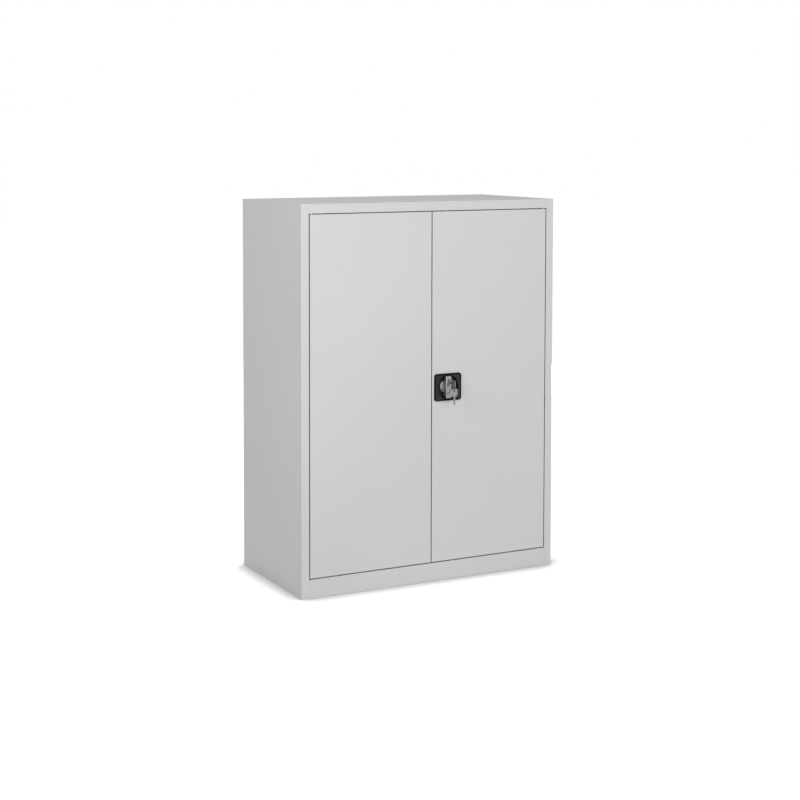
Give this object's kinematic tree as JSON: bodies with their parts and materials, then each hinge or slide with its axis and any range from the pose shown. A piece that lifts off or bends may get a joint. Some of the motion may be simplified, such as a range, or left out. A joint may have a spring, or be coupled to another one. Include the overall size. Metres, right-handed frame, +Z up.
{
  "type": "two-door steel storage cupboard",
  "caption": "Upright grey steel cupboard with paired inset doors, slotted shelf uprights and a recessed turning lock that throws rods into the sill and the head.",
  "frame": {"origin": "on the floor, at the middle of the bounding box in X and Y", "axes": "+Z up, the doors face -Y, +X to the right as seen from the front"},
  "size_m": [0.9, 0.5002, 1.2],
  "materials": {
    "grey_paint": "light grey powder coat",
    "zinc_plate": "zinc plated",
    "satin_nickel": "satin",
    "black_plastic": "fine grain",
    "bush_plastic": "moulded",
    "buffer_rubber": "matt"
  },
  "bodies": {
    "carcass": {"left_side_panel": "grey_paint", "right_side_panel": "grey_paint", "top_panel": "grey_paint", "head_rail": "grey_paint", "plinth": "grey_paint", "back_panel": "grey_paint", "rear_base_rail": "grey_paint", "floor_panel": "grey_paint", "front_left_upright": "zinc_plate", "rear_left_upright": "zinc_plate", "lower_left_bush": "bush_plastic", "upper_left_bush": "bush_plastic", "lower_left_buffer": "buffer_rubber", "upper_left_buffer": "buffer_rubber", "front_right_upright": "zinc_plate", "rear_right_upright": "zinc_plate", "lower_right_bush": "bush_plastic", "upper_right_bush": "bush_plastic", "lower_right_buffer": "buffer_rubber", "upper_right_buffer": "buffer_rubber", "lower_shelf": "grey_paint", "lower_front_left_clip": "zinc_plate", "lower_rear_left_clip": "zinc_plate", "lower_front_right_clip": "zinc_plate", "lower_rear_right_clip": "zinc_plate", "upper_shelf": "grey_paint", "upper_front_left_clip": "zinc_plate", "upper_rear_left_clip": "zinc_plate", "upper_front_right_clip": "zinc_plate", "upper_rear_right_clip": "zinc_plate"},
    "left_door": {"left_door_skin": "grey_paint", "left_door_stiffener": "grey_paint", "lower_left_pivot": "zinc_plate", "upper_left_pivot": "zinc_plate", "strike_plate": "zinc_plate"},
    "right_door": {"right_door_skin": "grey_paint", "right_door_stiffener": "grey_paint", "lower_right_pivot": "zinc_plate", "upper_right_pivot": "zinc_plate", "lock_escutcheon": "black_plastic", "lock_case": "zinc_plate", "lower_left_case_screw": "zinc_plate", "upper_left_case_screw": "zinc_plate", "lower_right_case_screw": "zinc_plate", "upper_right_case_screw": "zinc_plate", "upper_rod_guide": "zinc_plate", "lower_rod_guide": "zinc_plate"},
    "handle": {"turning_knob": "satin_nickel", "lock_spindle": "zinc_plate", "cam_disc": "zinc_plate", "latch_arm": "zinc_plate", "arm_nut": "zinc_plate", "lock_cylinder": "satin_nickel"},
    "upper_rod": {"upper_lock_rod": "zinc_plate"},
    "lower_rod": {"lower_lock_rod": "zinc_plate"},
    "key_plug": {"cylinder_plug": "satin_nickel", "key": "satin_nickel"},
    "ring": {"key_ring": "satin_nickel"},
    "spare": {"spare_key": "satin_nickel"}
  },
  "joints": [
    {"name": "left_door_hinge", "type": "hinge", "parent": "carcass", "child": "left_door", "pos_m": [-0.4143, -0.19352, 0.61475], "axis": [0, 0, -1], "range_deg": [0, 110]},
    {"name": "right_door_hinge", "type": "hinge", "parent": "carcass", "child": "right_door", "pos_m": [0.4143, -0.19352, 0.61475], "axis": [0, 0, 1], "range_deg": [0, 110]},
    {"name": "handle_turn", "type": "hinge", "parent": "right_door", "child": "handle", "pos_m": [0.0568, -0.19992, 0.61475], "axis": [0, 1, 0], "range_deg": [0, 90]},
    {"name": "upper_rod_slide", "type": "slide", "parent": "right_door", "child": "upper_rod", "axis": [0, 0, 1], "range_m": [0, 0.018]},
    {"name": "lower_rod_slide", "type": "slide", "parent": "right_door", "child": "lower_rod", "axis": [0, 0, -1], "range_m": [0, 0.018]},
    {"name": "key_turn", "type": "hinge", "parent": "handle", "child": "key_plug", "pos_m": [0.0568, -0.20992, 0.62925], "axis": [0, 1, 0], "range_deg": [0, 90]},
    {"name": "ring_swing", "type": "hinge", "parent": "key_plug", "child": "ring", "pos_m": [0.0568, -0.24292, 0.62785], "axis": [1, 0, 0], "range_deg": [-18, 18]},
    {"name": "spare_key_swing", "type": "hinge", "parent": "ring", "child": "spare", "pos_m": [0.0568, -0.24292, 0.60985], "axis": [0, 1, 0], "range_deg": [-18, 18]}
  ],
  "couplings": [
    {"joint": "upper_rod_slide", "follows": "handle_turn", "m_per_rad": 0.011459},
    {"joint": "lower_rod_slide", "follows": "handle_turn", "m_per_rad": 0.011459}
  ]
}
